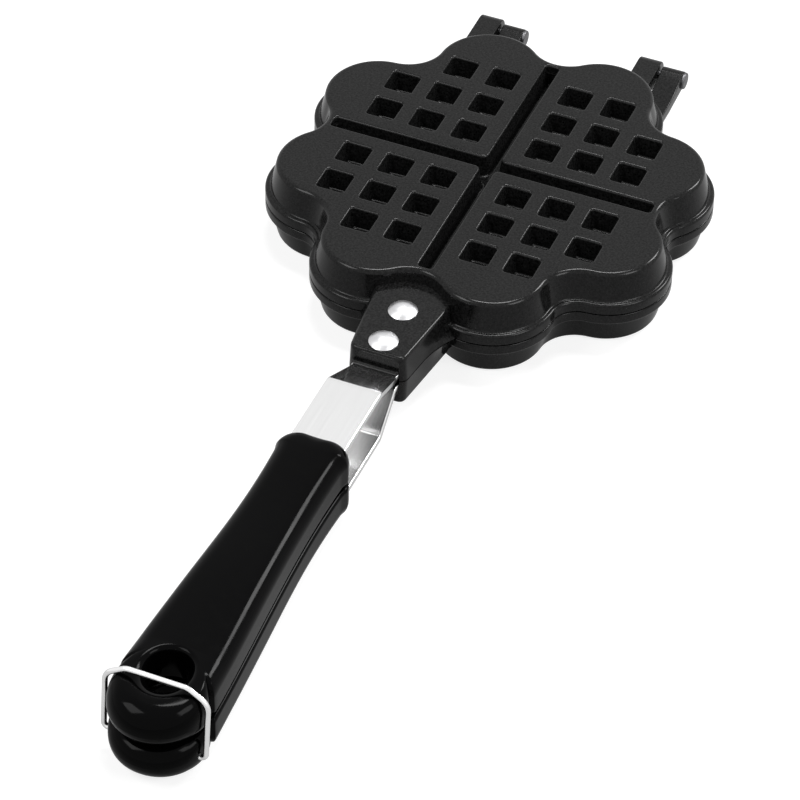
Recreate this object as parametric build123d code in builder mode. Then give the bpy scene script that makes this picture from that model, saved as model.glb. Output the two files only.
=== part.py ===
"""Double-sided waffle pan: two hinged rosette plates on cranked straps with moulded grips.

Millimetres, +Z up. The hinges lie towards +Y and the grips towards -Y. The pan is closed,
with its bail over the upper grip. Pieces are modelled round the centre of the rosette and
moved at the end, so that the origin lies on the table under the middle of the pan.
"""

import os
from math import atan, cos, degrees, radians, sin, sqrt, tan

from build123d import *

# Plates
half_height = 15.8  # each plate's height, which sets the parting plane
parting_gap = 0.4  # left between the two lands when the pan is shut
lobe_count = 8
lobe_ring_radius = 59.0  # centres of the lobe arcs
lobe_radius = 19.8
valley_radius = 14.5
wall_spread = 2.5  # how much wider the outer wall is at its foot than at the face
rim_chamfer = 1.2
flange_reach = 4.5  # the flange's edge beyond the outline of the face
flange_height = 4.6
wall_thickness = 2.8
floor_thickness = 2.8

# Waffle grid
pit_pitch = 17.0
pit_first = 14.7  # centre of the innermost pits from each axis
pits_per_side = 3
pit_opening = 11.5
pit_depth = 8.0
pit_draft = 11.0  # degrees
stud_wall = 2.0  # metal between a pit and the side of the stud around it
stud_cap = 2.4  # metal under a pit or a groove
groove_width = 6.0
groove_reach = 63.5
groove_depth = 8.5
groove_draft = 9.0  # degrees
ridge_wall = 1.8

# Handle boss
boss_end = 107.4  # its front face from the rosette's centre
boss_end_width = 22.6
boss_root = 62.0
boss_root_width = 39.0
boss_rise = 10.6  # its top above the parting plane
boss_corner_radius = 2.6
boss_edge_radius = 2.0
lip_reach = 1.5
lip_height = 1.6

# Strap
strap_thickness = 2.5
strap_seat_rise = 1.2  # underside of its tongue above the parting plane
strap_crank = 7.7  # how far it steps outwards between boss and grip
tongue_width = 17.5
tongue_start = 76.0
strap_width = 20.5
crank_start = 110.0
crank_end = 127.0
crank_bend_radius = 4.0
tang_width = 14.0
tang_shoulder = 170.0
tang_end = 262.0

# Rivets
rivet_places = {"rear": 83.2, "front": 100.8}
rivet_shank_radius = 2.5
rivet_head_radius = 5.6
rivet_head_height = 2.5

# Grips
grip_start = 156.0
grip_end = 302.0
grip_inner_rise = 1.1  # flat inner face above the parting plane
grip_front_rise = 15.2  # outer face above the parting plane, along the grip
grip_waist_rise = 14.7
grip_swell_rise = 15.7
grip_front_width = 27.0
waist_width = 25.0
waist_place = 192.0
swell_width = 29.4
swell_place = 238.0
neck_width = 33.8
neck_place = 278.5
knob_radius = 16.7
grip_front_radius = 8.0
grip_edge_radius = 6.2
hanging_hole_radius = 7.8
hanging_hole_place = 276.8
hanging_hole_edge = 2.0

# Grip screws
grip_screw_place = 184.0
grip_screw_radius = 2.0
screw_head_radius = 3.5
screw_head_height = 2.4
screw_head_depth = 3.0  # seat of the head inside the grip's inner face
screw_slot_width = 1.0
screw_slot_depth = 1.1
screw_run_out = 2.0  # thread beyond the tang

# Bail
wire_radius = 1.0
bail_pivot_place = 289.0
bail_lean = 7.3  # degrees from upright, towards the plates
bail_reach = 26.7  # centre line of the crossbar from the pivot
bail_shoulder_drop = 4.1
bail_crossbar_width = 21.6
bail_leg_clearance = 0.5  # between each leg and the side of the knob
bail_foot_spacing = 22.8  # between the inner ends of its two feet

# Hinges
hinge_place = 94.5  # pin axis, in the parting plane
hinge_spacing = 66.0
eye_width = 9.0
eye_gap = 0.8
upper_eye_radius = 5.0
lower_eye_radius = 3.5
arm_tip = 81.0  # where the arms' flat roots end
arm_neck = 1.5  # the last of that root, from which the arm tapers to its eye
arm_root = 62.0
pin_radius = 1.8
pin_head_radius = 3.3
pin_head_height = 1.0
pin_tail_radius = 2.4
pin_tail_height = 0.6

# Clearances
seat_clearance = 0.1  # between pieces that are fixed together
running_clearance = 0.05  # radial, where one piece turns in another
side_clearance = 0.3  # along a pin, between pieces that turn

# Worked out from the values above
full_height = 2 * half_height
face_width = 2 * (lobe_ring_radius + lobe_radius)
floor_level = full_height - floor_thickness
land_level = half_height + parting_gap / 2
flange_top = half_height + flange_height
wall_draft = degrees(atan(wall_spread / (full_height - flange_top)))
boss_top = half_height + boss_rise
strap_seat = half_height + strap_seat_rise
strap_seat_top = strap_seat + strap_thickness
strap_level = strap_seat + strap_crank
strap_level_top = strap_level + strap_thickness
grip_inner = half_height + grip_inner_rise
grip_outer = half_height + grip_swell_rise
grip_middle = (grip_inner + grip_outer) / 2
screw_seat = grip_inner + screw_head_depth
knob_centre = grip_end - knob_radius
bail_pivot_height = full_height - grip_middle
bail_leg_spacing = 2 * (knob_radius + bail_leg_clearance + wire_radius)
hinge_centres = {"left": -hinge_spacing / 2, "right": hinge_spacing / 2}
rosette_place = (grip_end - hinge_place - upper_eye_radius) / 2  # its centre from the origin
parting_plane = Plane.XY.offset(half_height)


def rosette(grow):
    """Face with the plate's eight-lobed outline, moved outwards by grow."""
    lobe = lobe_radius + grow
    valley = valley_radius - grow
    half_step = 180 / lobe_count
    across = lobe_ring_radius * sin(radians(half_step))
    valley_ring = lobe_ring_radius * cos(radians(half_step)) + sqrt((lobe + valley) ** 2 - across**2)
    lobe_centre = Vector(lobe_ring_radius, 0)
    valley_centre = Vector(valley_ring, 0).rotate(Axis.Z, half_step)
    touch = lobe_centre + (valley_centre - lobe_centre) * (lobe / (lobe + valley))
    other_touch = Vector(touch.X, -touch.Y)
    valley_bottom = Vector(valley_ring - valley, 0).rotate(Axis.Z, half_step)
    lobe_points = (other_touch, Vector(lobe_ring_radius + lobe, 0), touch)
    valley_points = (touch, valley_bottom, other_touch.rotate(Axis.Z, 2 * half_step))
    with BuildSketch() as face:
        with BuildLine():
            for step in range(lobe_count):
                turn = (2 * step + 1) * half_step
                ThreePointArc(*(point.rotate(Axis.Z, turn) for point in lobe_points))
                ThreePointArc(*(point.rotate(Axis.Z, turn) for point in valley_points))
        make_face()
    return face.sketch


def pit_places():
    """Centres of the pits: a square grid in each quadrant without its outer corner."""
    places = []
    for column in range(pits_per_side):
        for row in range(pits_per_side):
            if column + row == 2 * (pits_per_side - 1):
                continue
            x = pit_first + column * pit_pitch
            y = pit_first + row * pit_pitch
            places += [(x, y), (-x, y), (-x, -y), (x, -y)]
    return places


# The hollow of a plate: studs stand in it around the pits and ridges under the grooves
stud_width = pit_opening + 2 * (stud_wall - floor_thickness * tan(radians(pit_draft)))
ridge_width = groove_width + 2 * (ridge_wall - floor_thickness * tan(radians(groove_draft)))
with BuildPart() as hollow:
    with BuildSketch(Plane.XY.offset(land_level)):
        add(rosette(wall_spread - wall_thickness))
    extrude(amount=floor_level - land_level, taper=wall_draft)
    with BuildSketch(Plane.XY.offset(floor_level)):
        with Locations(*pit_places()):
            Rectangle(stud_width, stud_width)
    extrude(amount=floor_thickness - pit_depth - stud_cap, taper=pit_draft, mode=Mode.SUBTRACT)
    for length, width in ((face_width, ridge_width), (ridge_width, face_width)):
        with BuildSketch(Plane.XY.offset(floor_level)):
            Rectangle(length, width)
        extrude(amount=floor_thickness - groove_depth - stud_cap, taper=groove_draft, mode=Mode.SUBTRACT)

# The handle boss, with its slot for the strap and its rivet holes
with BuildPart() as boss:
    with BuildSketch(Plane.XY.offset(boss_top)) as boss_plan:
        Polygon(
            (-boss_root_width / 2, -boss_root),
            (-boss_end_width / 2, -boss_end),
            (boss_end_width / 2, -boss_end),
            (boss_root_width / 2, -boss_root),
            align=None,
        )
        fillet(boss_plan.vertices().group_by(Axis.Y)[0], boss_corner_radius)
    extrude(amount=land_level - boss_top)
    fillet(boss.faces().sort_by(Axis.Z)[-1].edges().sort_by(Axis.Y)[:-1], boss_edge_radius)
    with Locations((0, -boss_end - lip_reach, strap_seat_top)):
        Box(
            tongue_width,
            lip_reach + boss_corner_radius,
            lip_height,
            align=(Align.CENTER, Align.MIN, Align.MIN),
        )
with BuildPart() as strap_slot:
    with BuildSketch(Plane.XY.offset(land_level)):
        with Locations((0, seat_clearance - tongue_start)):
            Rectangle(
                tongue_width + 2 * seat_clearance,
                crank_start - tongue_start,
                align=(Align.CENTER, Align.MAX),
            )
    extrude(amount=strap_seat_top - land_level)
    with BuildSketch(Plane.XY.offset(strap_seat_top)):
        with Locations(*((0, -place) for place in rivet_places.values())):
            Circle(rivet_shank_radius + seat_clearance)
    extrude(amount=boss_rise)


def plate(eye_radius, first_arm, bore_radius):
    """Cast plate in the upper one's place, its arms starting at first_arm from each hinge."""
    with BuildPart() as cast:
        with BuildSketch(Plane.XY.offset(land_level)):
            add(rosette(flange_reach))
        extrude(amount=flange_top - land_level)
        with BuildSketch(Plane.XY.offset(flange_top)):
            add(rosette(wall_spread))
        extrude(amount=full_height - flange_top, taper=wall_draft)
        chamfer(cast.faces().sort_by(Axis.Z)[-1].edges(), rim_chamfer)
        add(boss.part)
        for centre in hinge_centres.values():
            with BuildSketch(Plane.YZ.offset(centre + first_arm)):
                with Locations((hinge_place, half_height)):
                    Circle(eye_radius)
                with Locations((arm_tip, land_level)):
                    Rectangle(arm_neck, flange_top - land_level, align=(Align.MAX, Align.MIN))
                make_hull()
                with Locations((arm_root, land_level)):
                    Rectangle(arm_tip - arm_root, flange_top - land_level, align=Align.MIN)
            extrude(amount=eye_width)
            with BuildSketch(Plane.YZ.offset(centre + first_arm)):
                with Locations((hinge_place, half_height)):
                    Circle(bore_radius)
            extrude(amount=eye_width, mode=Mode.SUBTRACT)
        add(hollow.part, mode=Mode.SUBTRACT)
        add(strap_slot.part, mode=Mode.SUBTRACT)
        with BuildSketch(Plane.XY.offset(full_height)):
            with Locations(*pit_places()):
                Rectangle(pit_opening, pit_opening)
        extrude(amount=-pit_depth, taper=pit_draft, mode=Mode.SUBTRACT)
        for length, width in ((2 * groove_reach, groove_width), (groove_width, 2 * groove_reach)):
            with BuildSketch(Plane.XY.offset(full_height)):
                Rectangle(length, width)
            extrude(amount=-groove_depth, taper=groove_draft, mode=Mode.SUBTRACT)
    return cast


# Plates: the lower one is the same casting turned over, with its own arms
upper_plate = plate(upper_eye_radius, -eye_gap / 2 - eye_width, pin_radius + running_clearance)
upright_plate = plate(lower_eye_radius, eye_gap / 2, pin_radius)
with BuildPart() as lower_plate:
    add(mirror(upright_plate.part, about=parting_plane, mode=Mode.PRIVATE))
pieces = {"upper_plate": upper_plate, "lower_plate": lower_plate}

# Hinge pins: pressed into the lower eye, with a head on its right and a tail on the left
for side, centre in hinge_centres.items():
    with BuildPart() as hinge_pin:
        with BuildSketch(Plane.YZ.offset(centre + eye_gap / 2 + eye_width)):
            with Locations((hinge_place, half_height)):
                Circle(pin_head_radius)
        extrude(amount=pin_head_height)
        with BuildSketch(Plane.YZ.offset(centre + eye_gap / 2 + eye_width)):
            with Locations((hinge_place, half_height)):
                Circle(pin_radius)
        extrude(amount=-(2 * eye_width + eye_gap + side_clearance))
        with BuildSketch(hinge_pin.faces().sort_by(Axis.X)[0]):
            Circle(pin_tail_radius)
        extrude(amount=pin_tail_height)
    pieces[side + "_hinge_pin"] = hinge_pin

# Straps: flat in the boss, cranked outwards, then flat again inside the grip
with BuildPart() as upper_strap:
    with BuildSketch(Plane.YZ):
        with BuildLine():
            FilletPolyline(
                (-tongue_start, strap_seat),
                (-crank_start, strap_seat),
                (-crank_end, strap_level),
                (-tang_end, strap_level),
                radius=crank_bend_radius,
            )
            offset(amount=strap_thickness, side=Side.RIGHT)
        make_face()
    extrude(amount=strap_width / 2, both=True)
    with BuildSketch(Plane.XY):
        with BuildLine():
            Polyline(
                (0, -tongue_start),
                (tongue_width / 2, -tongue_start),
                (tongue_width / 2, -crank_start),
                (strap_width / 2, -crank_end),
                (strap_width / 2, -tang_shoulder),
                (tang_width / 2, -tang_shoulder),
                (tang_width / 2, -tang_end),
                (0, -tang_end),
            )
            mirror(about=Plane.YZ)
        make_face()
    extrude(amount=full_height, mode=Mode.INTERSECT)
    with BuildSketch(Plane.XY):
        with Locations(*((0, -place) for place in rivet_places.values())):
            Circle(rivet_shank_radius + seat_clearance)
        with Locations((0, -grip_screw_place)):
            Circle(grip_screw_radius + seat_clearance)
    extrude(amount=full_height, mode=Mode.SUBTRACT)

# Rivets: a domed head on the boss, and a shank closed flush with the strap's underside
dome_radius = (rivet_head_radius**2 + rivet_head_height**2) / (2 * rivet_head_height)
dome_centre = boss_top + rivet_head_height - dome_radius
upper_rivets = {}
for place, distance in rivet_places.items():
    with BuildPart() as upper_rivets[place]:
        with BuildSketch(Plane.XY.offset(boss_top)):
            with Locations((0, -distance)):
                Circle(rivet_head_radius)
        extrude(amount=rivet_head_height)
        with Locations((0, -distance, dome_centre)):
            Sphere(dome_radius, mode=Mode.INTERSECT)
        with BuildSketch(Plane.XY.offset(boss_top)):
            with Locations((0, -distance)):
                Circle(rivet_shank_radius)
        extrude(amount=strap_seat - boss_top)

# Grips: a waisted body and a round knob, moulded over the strap's tang
with BuildPart() as grip_body:
    with BuildSketch(Plane.XY.offset(grip_inner)) as body_plan:
        with BuildLine():
            Line((-grip_front_width / 2, -grip_start), (grip_front_width / 2, -grip_start))
            for side in (1, -1):
                Spline(
                    (side * grip_front_width / 2, -grip_start),
                    (side * waist_width / 2, -waist_place),
                    (side * swell_width / 2, -swell_place),
                    (side * neck_width / 2, -neck_place),
                )
                Line((side * neck_width / 2, -neck_place), (0, -knob_centre))
        make_face()
        fillet(body_plan.vertices().group_by(Axis.Y)[-1], grip_front_radius)
    extrude(amount=grip_outer - grip_inner)
    with BuildSketch(Plane.YZ.offset(-neck_width)):
        with BuildLine():
            Spline(
                (-grip_start, half_height + grip_front_rise),
                (-waist_place, half_height + grip_waist_rise),
                (-swell_place, grip_outer),
                tangents=((-1, 0), (-1, 0)),
            )
            Polyline(
                (-swell_place, grip_outer),
                (-grip_end, grip_outer),
                (-grip_end, grip_inner),
                (-grip_start, grip_inner),
                (-grip_start, half_height + grip_front_rise),
            )
        make_face()
    extrude(amount=2 * neck_width, mode=Mode.INTERSECT)
    crest = grip_body.edges().filter_by_position(Axis.Z, grip_middle, grip_outer, inclusive=(False, True))
    crest = crest.filter_by_position(Axis.Y, -neck_place, -grip_start)
    fillet([edge for edge in crest if edge.center().Y != -swell_place], grip_edge_radius)
with BuildPart() as upper_grip:
    with BuildSketch(Plane.XY.offset(grip_inner)):
        with Locations((0, -knob_centre)):
            Circle(knob_radius)
    extrude(amount=grip_outer - grip_inner)
    fillet(upper_grip.faces().sort_by(Axis.Z)[-1].edges(), grip_edge_radius)
    add(grip_body.part)
    with BuildSketch(Plane.XY.offset(grip_inner)):
        with Locations((0, -hanging_hole_place)):
            Circle(hanging_hole_radius)
    extrude(amount=grip_outer - grip_inner, mode=Mode.SUBTRACT)
    chamfer(upper_grip.edges(Select.LAST).sort_by(Axis.Z)[-1], hanging_hole_edge)
    with BuildSketch(Plane.XY.offset(strap_level - seat_clearance)):
        with Locations((0, -grip_start)):
            Rectangle(
                strap_width + 2 * seat_clearance,
                tang_shoulder + seat_clearance - grip_start,
                align=(Align.CENTER, Align.MAX),
            )
        with Locations((0, -grip_start)):
            Rectangle(
                tang_width + 2 * seat_clearance,
                tang_end + seat_clearance - grip_start,
                align=(Align.CENTER, Align.MAX),
            )
    extrude(amount=strap_thickness + 2 * seat_clearance, mode=Mode.SUBTRACT)
    with BuildSketch(Plane.XY.offset(grip_inner)):
        with Locations((0, -grip_screw_place)):
            Circle(screw_head_radius + seat_clearance)
    extrude(amount=screw_head_depth, mode=Mode.SUBTRACT)
    with BuildSketch(Plane.XY.offset(grip_inner)):
        with Locations((0, -grip_screw_place)):
            Circle(grip_screw_radius + seat_clearance)
    extrude(amount=strap_level_top + screw_run_out + seat_clearance - grip_inner, mode=Mode.SUBTRACT)
with BuildPart() as lower_grip:
    add(mirror(upper_grip.part, about=parting_plane, mode=Mode.PRIVATE))
    with BuildSketch(Plane.YZ.offset(-knob_radius)):
        with Locations((-bail_pivot_place, bail_pivot_height)):
            Circle(wire_radius + running_clearance)
    extrude(amount=knob_radius - bail_foot_spacing / 2 + side_clearance, mode=Mode.SUBTRACT)
    with BuildSketch(Plane.YZ.offset(knob_radius)):
        with Locations((-bail_pivot_place, bail_pivot_height)):
            Circle(wire_radius + running_clearance)
    extrude(amount=bail_foot_spacing / 2 - side_clearance - knob_radius, mode=Mode.SUBTRACT)

# Grip screws: slotted pan heads seated inside the grip, their threads past the tang
with BuildPart() as upper_grip_screw:
    with BuildSketch(Plane.XY.offset(screw_seat)):
        with Locations((0, -grip_screw_place)):
            Circle(screw_head_radius)
    extrude(amount=-screw_head_height)
    with BuildSketch(Plane.XY.offset(screw_seat)):
        with Locations((0, -grip_screw_place)):
            Circle(grip_screw_radius)
    extrude(amount=strap_level_top + screw_run_out - screw_seat)
    with BuildSketch(Plane.XY.offset(screw_seat - screw_head_height)):
        with Locations((0, -grip_screw_place)):
            Rectangle(2 * screw_head_radius, screw_slot_width)
    extrude(amount=screw_slot_depth, mode=Mode.SUBTRACT)

# The rest of the lower handle is the upper one turned over
turned_over = {
    "strap": upper_strap,
    "grip_screw": upper_grip_screw,
    "rear_rivet": upper_rivets["rear"],
    "front_rivet": upper_rivets["front"],
}
pieces["upper_grip"] = upper_grip
pieces["lower_grip"] = lower_grip
for name, piece in turned_over.items():
    pieces["upper_" + name] = piece
    with BuildPart() as pieces["lower_" + name]:
        add(mirror(piece.part, about=parting_plane, mode=Mode.PRIVATE))

# Bail: one bent wire, leaning towards the plates, its feet turned into the lower grip
bail_plane = Plane(
    origin=(0, -bail_pivot_place, bail_pivot_height),
    x_dir=(1, 0, 0),
    z_dir=(0, -cos(radians(bail_lean)), sin(radians(bail_lean))),
)
with BuildPart() as bail_wire:
    with BuildLine(bail_plane) as bail_path:
        Polyline(
            (-bail_foot_spacing / 2, 0),
            (-bail_leg_spacing / 2, 0),
            (-bail_leg_spacing / 2, bail_reach - bail_shoulder_drop),
            (-bail_crossbar_width / 2, bail_reach),
            (bail_crossbar_width / 2, bail_reach),
            (bail_leg_spacing / 2, bail_reach - bail_shoulder_drop),
            (bail_leg_spacing / 2, 0),
            (bail_foot_spacing / 2, 0),
        )
    with BuildSketch(bail_path.line ^ 0):
        Circle(wire_radius)
    sweep(transition=Transition.RIGHT)
pieces["bail_wire"] = bail_wire

# Each piece is named, moved to the pan's own origin and written as its own file
os.makedirs("parts", exist_ok=True)
for name, piece in pieces.items():
    piece.part.label = name
    piece.part.position = (0, rosette_place, 0)
    export_step(piece.part, "parts/" + name + ".step")
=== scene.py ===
"""Double-sided waffle pan: coated castings, steel straps and glossy moulded grips.

Shapes are worked out in millimetres round the middle of the rosette, with +Y towards the
hinges and +Z up. They go into the meshes in metres, in the frame of the CAD.
Plan outlines are complex numbers x + iy, and profiles are offset + i*height.
A place on the handle is its distance from the rosette's middle, towards -Y.
"""

from math import atan, cos, degrees, pi, radians, sin, sqrt, tan

import bmesh
import bpy
import numpy as np
from mathutils import Matrix, Vector
from mathutils.geometry import delaunay_2d_cdt


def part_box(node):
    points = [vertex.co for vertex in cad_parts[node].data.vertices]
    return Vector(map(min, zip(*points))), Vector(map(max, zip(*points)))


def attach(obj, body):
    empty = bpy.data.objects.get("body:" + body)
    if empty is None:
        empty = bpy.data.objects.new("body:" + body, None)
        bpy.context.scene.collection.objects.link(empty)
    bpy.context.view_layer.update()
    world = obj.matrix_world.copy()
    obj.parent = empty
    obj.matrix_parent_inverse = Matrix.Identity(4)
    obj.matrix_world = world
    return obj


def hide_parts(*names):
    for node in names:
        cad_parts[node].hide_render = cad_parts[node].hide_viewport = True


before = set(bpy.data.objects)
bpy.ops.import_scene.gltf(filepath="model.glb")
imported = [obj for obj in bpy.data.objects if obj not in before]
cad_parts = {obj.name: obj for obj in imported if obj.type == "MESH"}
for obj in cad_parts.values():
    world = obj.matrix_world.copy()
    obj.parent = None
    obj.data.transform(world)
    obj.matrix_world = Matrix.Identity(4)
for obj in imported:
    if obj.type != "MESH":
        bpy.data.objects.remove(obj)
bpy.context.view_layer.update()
MM = 0.001

# Plates: the upper one, with drafts in degrees; points are how many lie along a round
HALF_HEIGHT = 15.8
FULL_HEIGHT = 2 * HALF_HEIGHT
LAND_LEVEL = 16.0
FLANGE_TOP = 20.4
FLOOR_LEVEL = 28.8
LOBE_COUNT = 8
LOBE_RING = 59.0
LOBE_RADIUS = 19.8
LOBE_POINTS = 33
VALLEY_RADIUS = 14.5
VALLEY_POINTS = 23
WALL_SPREAD = 2.5
FLANGE_REACH = 4.5
HOLLOW_INSET = -0.2  # of the hollow's mouth from the rosette's outline
RIM_RADIUS = 2.0
RIM_POINTS = 7
FOOT_RADIUS = 0.9
FLANGE_RADIUS = 1.1
EDGE_RADIUS = 0.5
HOLLOW_RADIUS = 1.5
ROOT_SINK = 0.05  # how far the boss's land and the arms' roots lie inside the flange's faces
ROUND_POINTS = 5
CREST_POINTS = 6
EDGE_POINTS = 4

# Waffle grid
PIT_PITCH = 17.0
PIT_FIRST = 14.7
PIT_ROWS = 3
PIT_HALF = 5.5
PIT_DEPTH = 8.0
PIT_DRAFT = 11.0
PIT_CORNER = 1.2
PIT_LIP = 1.0
PIT_FOOT = 0.9
GROOVE_HALF = 2.75
GROOVE_REACH = 63.5
GROOVE_DEPTH = 8.5
GROOVE_DRAFT = 9.0
GROOVE_CORNER = 1.2
GROOVE_CORNER_LOSS = 0.6  # the most that a groove's corners lose towards its floor
CROSSING_RADIUS = 2.2
CROSSING_POINTS = 9
CORNER_POINTS = 7
METAL_UNDER = 2.4
STUD_HALF = 7.2
STUD_CORNER = 2.0
RIDGE_HALF = 4.36
RIDGE_REACH = 65.2

# Handle boss
BOSS_TOP = 26.4
BOSS_ROOT = 62.0
BOSS_ROOT_HALF = 16.3
BOSS_END = 107.4
BOSS_END_HALF = 10.4
BOSS_CORNER = 2.6
BOSS_CREST = 1.5
BOSS_DRAFT = 3.0
BOSS_FLARE = 5.0
BOSS_FLARE_LENGTH = 18.0
BOSS_HEART = (0, -66.5, 21.0)  # inside the plate's wall, where the boss's skin closes
BOSS_LAND = LAND_LEVEL + ROOT_SINK
BOSS_STATIONS = 16
BOSS_CORNER_POINTS = 8
BOSS_TOP_POINTS = 9
BOSS_SIDE_POINTS = 6
SLOT_HALF = 8.85
SLOT_START = 76.0
BOSS_LIP_REACH = 1.5
BOSS_LIP_HEIGHT = 1.6

# Strap
STRAP_THICKNESS = 2.5
STRAP_SEAT = 17.0
STRAP_LEVEL = 24.7
STRAP_SEAT_TOP = STRAP_SEAT + STRAP_THICKNESS
STRAP_BEND = 5.0
STRAP_BEND_POINTS = 12
STRAP_EDGE = 0.45
TONGUE_HALF = 8.75
STRAP_HALF = 10.25
TANG_HALF = 7.0
CRANK_START = 110.0
CRANK_END = 127.0
TANG_SHOULDER = 170.0
SHOULDER_LENGTH = 0.01  # over which the strap steps in to its tang
TANG_END = 262.0

# Rivets
RIVET_PLACES = {"rear": 83.2, "front": 100.8}
RIVET_HEAD = 5.35
RIVET_HEIGHT = 2.5
RIVET_EDGE = 0.35
RIVET_SHANK = 2.5
RIVET_TAIL = 3.2
RIVET_TAIL_HEIGHT = 0.7
RIVET_SIDES = 48
DOME_POINTS = 12

# Grips: their half width is a cubic through the halves at front, waist, swell and neck
GRIP_START = 156.0
GRIP_WAIST = 192.0
GRIP_SWELL = 238.0
NECK_PLACE = 278.5
GRIP_END = 302.0
GRIP_FRONT_HALF = 13.5
GRIP_WAIST_HALF = 12.5
GRIP_SWELL_HALF = 14.7
NECK_HALF = 16.9
NECK_EASE = 0.6  # how far before the neck the side ends
NECK_DIP = 0.15  # how far the outline dips in at the neck
GRIP_FRONT_CORNER = 8.0
GRIP_CORNER_END = 2  # degrees left of the front corner's turn where the side takes over
GRIP_INNER = 16.9
GRIP_FRONT_TOP = 31.0
GRIP_WAIST_TOP = 30.5
GRIP_TOP = 31.5
GRIP_CREST = 6.2
GRIP_CROWN = 5.0  # degrees, slope of the top face where it meets the crest
GRIP_LOWER_EDGE = 1.4
SPINE_START = 165.5
KNOB_RADIUS = 16.7
KNOB_CENTRE = GRIP_END - KNOB_RADIUS
KNOB_CREST = 8.5
KNOB_LOWER_EDGE = 6.0
KNOB_GROWTH_START = 270.5  # where the grip's rounds start to grow to the knob's
KNOB_GROWTH_LENGTH = 24
HOLE_PLACE = 276.8
HOLE_RADIUS = 7.8
HOLE_LIP = 2.0
HOLE_LIP_START = HOLE_PLACE - HOLE_RADIUS - HOLE_LIP
KNOB_LIP = 8.0
KNOB_LIP_POWER = 6  # the higher, the nearer the knob's end the lip widens
SCREW_PLACE = 184.0
SCREW_POCKET = 3.6
SCREW_SEAT = 19.9

# Points along a grip's outline, from its front to its end, and across it
FRONT_POINTS = 5
FRONT_CORNER_POINTS = 14
LEAD_POINTS = 8
POCKET_POINTS = 13
SIDE_POINTS = 30
NECK_POINTS = 6
KNOB_POINTS = 36
INNER_POINTS = 5
LOWER_EDGE_POINTS = 9
GRIP_CREST_POINTS = 11
GRIP_TOP_POINTS = 9
LIP_POINTS = 13
LOWER_LIP_POINTS = 5

# Bail
WIRE_RADIUS = 1.0
WIRE_SIDES = 20
BAIL_PLACE = 289.0
BAIL_HEIGHT = 7.4
BAIL_LEAN = 7.3
BAIL_REACH = 26.7
BAIL_DROP = 4.1
BAIL_CROSSBAR = 21.6
BAIL_LEGS = 36.4
BAIL_FEET = 22.8
BAIL_BEND = 5.0
BAIL_FOOT_BEND = 1.9
BAIL_BEND_POINTS = 10

# Hinges
HINGE_PLACE = 94.5
HINGE_CENTRES = {"left": -33.0, "right": 33.0}
EYE_WIDTH = 9.0
EYE_GAP = 0.8
UPPER_EYE = 5.0
LOWER_EYE = 3.5
EYE_POINTS = 24
EYE_BORE = 1.82
BORE_SIDES = 32
ARM_NECK = 79.5
ARM_LOWER_NECK = 81.0
ARM_ROOT_GROW = 1.2
ARM_EDGE = 0.5
PIN_RADIUS = 1.8
PIN_HEAD = 3.3
PIN_HEAD_HEIGHT = 1.0
PIN_HEAD_EDGE = 0.6
PIN_TAIL = 2.4
PIN_TAIL_HEIGHT = 0.6
PIN_TAIL_EDGE = 0.4
PIN_SIDES = 36
SIDE_CLEARANCE = 0.3

# Meshes: the first two in millimetres, the next two in metres and the angle in degrees
POLE_RADIUS = 1e-4
PLAN_TOLERANCE = 1e-5
MERGE_DISTANCE = 2e-6
DEGENERATE_LENGTH = 1e-6
SHARP_ANGLE = 38
INNER_TRIANGLES = 1  # asks the triangulation for the triangles within its outlines

# Stage: lengths in metres
TABLE_SIZE = 6
TABLE_GAP = 0.0003
TABLE_SHADE = 0.3
TABLE_SEEN = 0.82
TABLE_MIRRORED = 0.3
SKY_LIGHT = 0.1
PAN_MIDDLE = (0, -0.1, 0)
CAMERA_PLACE = (0.39576, -0.95089, 0.95058)
CAMERA_FORWARD = (-0.27804, 0.67976, -0.67870)
CAMERA_DOWN = (0.27206, -0.62190, -0.73432)
CAMERA_LENS = 176.92
SENSOR_WIDTH = 36

QUARTER_TURNS = 1j ** np.arange(4)
CORNER_SIGNS = np.array((1 + 1j, -1 + 1j, -1 - 1j, 1 - 1j))

# The rosette's middle lies this far along the frame's Y
ROSETTE_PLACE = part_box("upper_plate")[1].y / MM - HINGE_PLACE - UPPER_EYE
WALL_DRAFT = degrees(atan(WALL_SPREAD / (FULL_HEIGHT - FLANGE_TOP)))

# The rosette's lobe and valley arcs touch on the line between their centres
half_step = pi / LOBE_COUNT
across = LOBE_RING * sin(half_step)
valley_ring = LOBE_RING * cos(half_step) + sqrt((LOBE_RADIUS + VALLEY_RADIUS) ** 2 - across**2)
valley_centre = valley_ring * np.exp(1j * half_step)
lobe_spread = degrees(np.angle(valley_centre - LOBE_RING))


def arc(centre, radius, first, last, count):
    """Circular arc: centre + radius * e^(i*angle), the angle running evenly from first to last degrees."""
    return centre + radius * np.exp(1j * np.radians(np.linspace(first, last, count)))


def ring(radius, count):
    """Closed circle about 0: radius * e^(i*angle) at evenly spread angles."""
    return arc(0, radius, 0, 360, count + 1)[:-1]


def quarter_sweep(count):
    """Angles evenly spread from 0 to a quarter turn, in radians."""
    return np.radians(np.linspace(0, 90, count))


def four_times(quarter):
    """The quarter of an outline, repeated at each quarter turn about 0."""
    return (QUARTER_TURNS[:, None] * quarter).ravel()


def eased(share):
    """A share held between 0 and 1, eased at both ends: half of 1 - cos(pi * share)."""
    return 0.5 - 0.5 * np.cos(pi * np.clip(share, 0, 1))


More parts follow.
